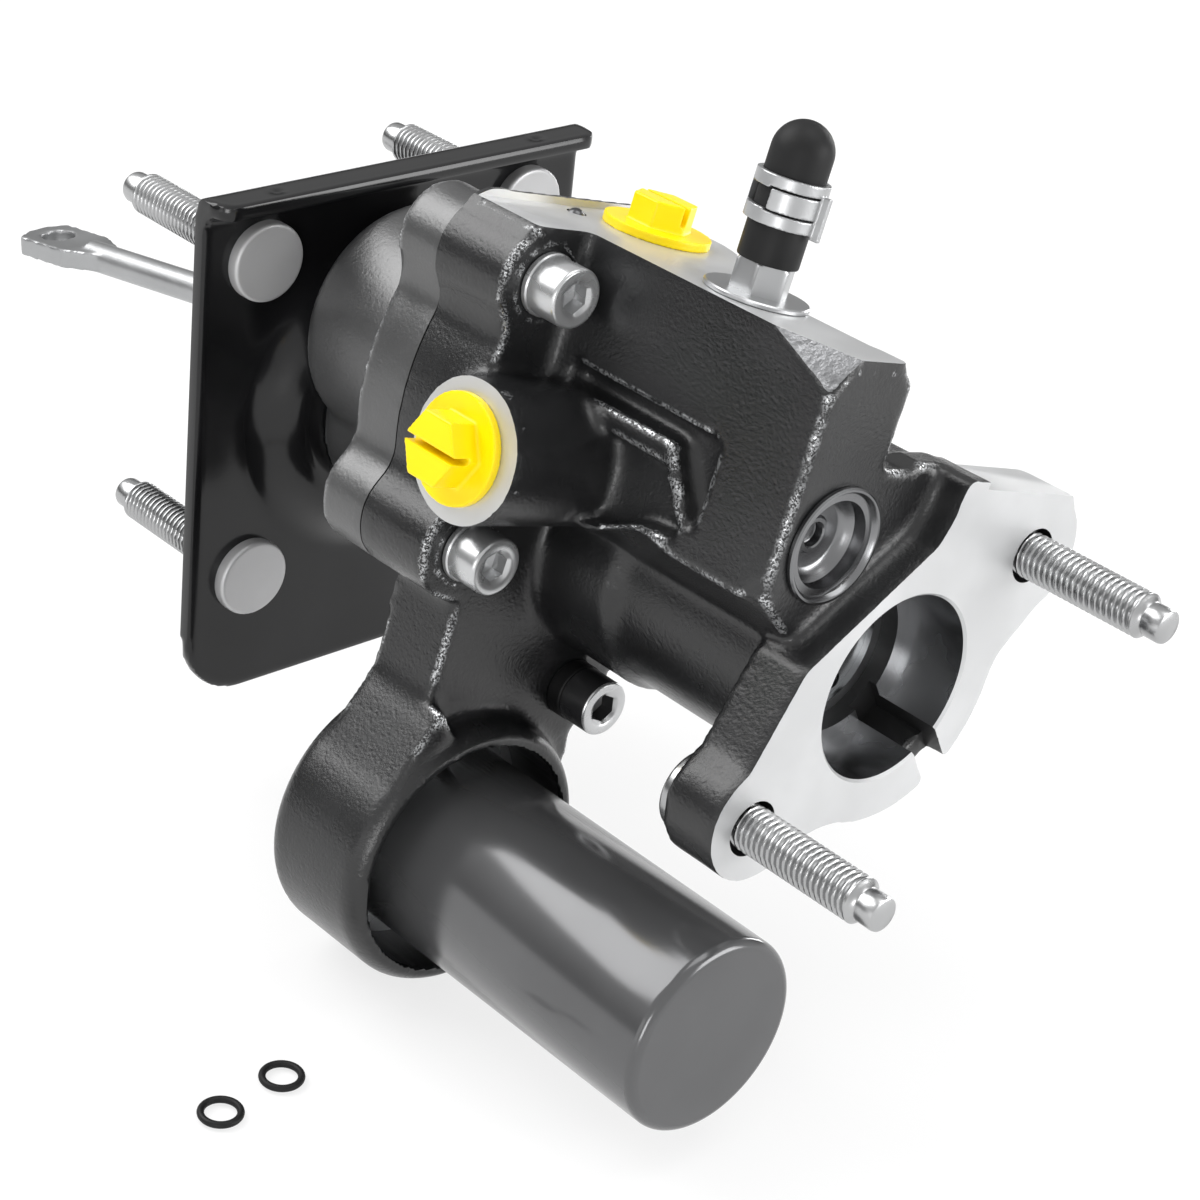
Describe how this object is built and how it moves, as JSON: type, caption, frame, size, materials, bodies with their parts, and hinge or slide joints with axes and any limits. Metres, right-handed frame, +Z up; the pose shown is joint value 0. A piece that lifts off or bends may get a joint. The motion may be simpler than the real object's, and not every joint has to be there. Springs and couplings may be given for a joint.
{
  "type": "hydraulic brake booster",
  "caption": "Hydraulic brake booster: firewall bracket, cast two-part housing with lever valve, side accumulator, pedal rod and a studded master cylinder flange.",
  "frame": {"origin": "on the pedal rod axis, at the bracket's rear face that sits on the firewall", "axes": "+X forward along the pedal rod axis towards the master cylinder, +Z up, +Y to the left of a driver facing forward"},
  "size_m": [0.3456, 0.1791, 0.2039],
  "materials": {
    "black_cast_iron": "black satin coat over a fine cast grain",
    "gloss_black_steel": "gloss black coat on pressed steel",
    "zinc_steel": "bright zinc plate",
    "bright_steel": "bright turned steel",
    "dark_steel": "dark turned steel",
    "grey_coated_steel": "dark grey satin coat",
    "yellow_plastic": "moulded yellow plastic",
    "black_rubber": "matt black rubber",
    "spring_steel": "oiled spring steel"
  },
  "bodies": {
    "booster": {"mounting_bracket": "gloss_black_steel", "firewall_studs": "zinc_steel", "bracket_nut": "zinc_steel", "rear_cover": "black_cast_iron", "main_housing": "black_cast_iron", "housing_seal": "black_rubber", "cover_screws": "bright_steel", "cover_screw_washers": "bright_steel", "sleeve_screw": "bright_steel", "screw_sleeve": "black_rubber", "piston_return_spring": "spring_steel", "spring_retainer": "bright_steel", "retainer_ring": "spring_steel", "input_seal": "black_rubber", "spool_sleeve": "bright_steel", "spool_spring": "spring_steel", "spool_plug": "dark_steel", "spool_plug_seal": "black_rubber", "spool_plug_ring": "spring_steel", "accumulator_can": "grey_coated_steel", "accumulator_base": "dark_steel", "accumulator_seal": "black_rubber", "accumulator_ring": "spring_steel", "check_spring": "spring_steel", "return_fitting": "zinc_steel", "return_washer": "zinc_steel", "rubber_cap": "black_rubber", "hose_clamp": "spring_steel", "top_port_plug": "yellow_plastic", "side_port_plug": "yellow_plastic", "passage_ball": "dark_steel", "master_studs": "zinc_steel", "spare_o_rings": "black_rubber"},
    "input_rod": {"input_rod": "bright_steel", "input_pin": "bright_steel", "rod_grommet": "black_rubber"},
    "pedal_rod": {"pedal_rod": "zinc_steel"},
    "power_piston": {"power_piston": "bright_steel", "piston_seal": "black_rubber", "piston_pin": "bright_steel", "output_rod": "bright_steel"},
    "spool": {"spool_valve": "bright_steel", "lever_pin": "bright_steel"},
    "lever": {"valve_lever": "spring_steel"},
    "accumulator_piston": {"accumulator_piston": "bright_steel", "accumulator_piston_seal": "black_rubber"},
    "check_ball": {"check_ball": "bright_steel"}
  },
  "joints": [
    {"name": "input_slide", "type": "slide", "parent": "booster", "child": "input_rod", "axis": [1, 0, 0], "range_m": [0, 0.032], "stiffness_N_per_m": 1500, "springref_m": -0.02},
    {"name": "pedal_rod_swing", "type": "hinge", "parent": "input_rod", "child": "pedal_rod", "pos_m": [-0.0515, 0, 0], "axis": [0, 1, 0], "range_deg": [-6, 12]},
    {"name": "piston_slide", "type": "slide", "parent": "booster", "child": "power_piston", "axis": [1, 0, 0], "range_m": [0, 0.0264], "deforming": ["piston_return_spring"]},
    {"name": "spool_slide", "type": "slide", "parent": "booster", "child": "spool", "axis": [1, 0, 0], "range_m": [0, 0.0026], "deforming": ["spool_spring"]},
    {"name": "lever_swing", "type": "hinge", "parent": "spool", "child": "lever", "pos_m": [0.0435, -0.01731, 0.03427], "axis": [0, -0.8926, -0.4509], "range_deg": [0, 42.3]},
    {"name": "accumulator_slide", "type": "slide", "parent": "booster", "child": "accumulator_piston", "axis": [1, 0, 0], "range_m": [0, 0.06], "stiffness_N_per_m": 300, "springref_m": -0.02},
    {"name": "check_ball_slide", "type": "slide", "parent": "booster", "child": "check_ball", "axis": [1, 0, 0], "range_m": [0, 0.0015], "stiffness_N_per_m": 100, "springref_m": -0.002, "deforming": ["check_spring"]}
  ],
  "couplings": [
    {"joint": "piston_slide", "follows": "input_slide", "ratio": 0.8199},
    {"joint": "spool_slide", "follows": "input_slide", "ratio": 0.07812},
    {"joint": "lever_swing", "follows": "input_slide", "rad_per_m": 22.921}
  ]
}
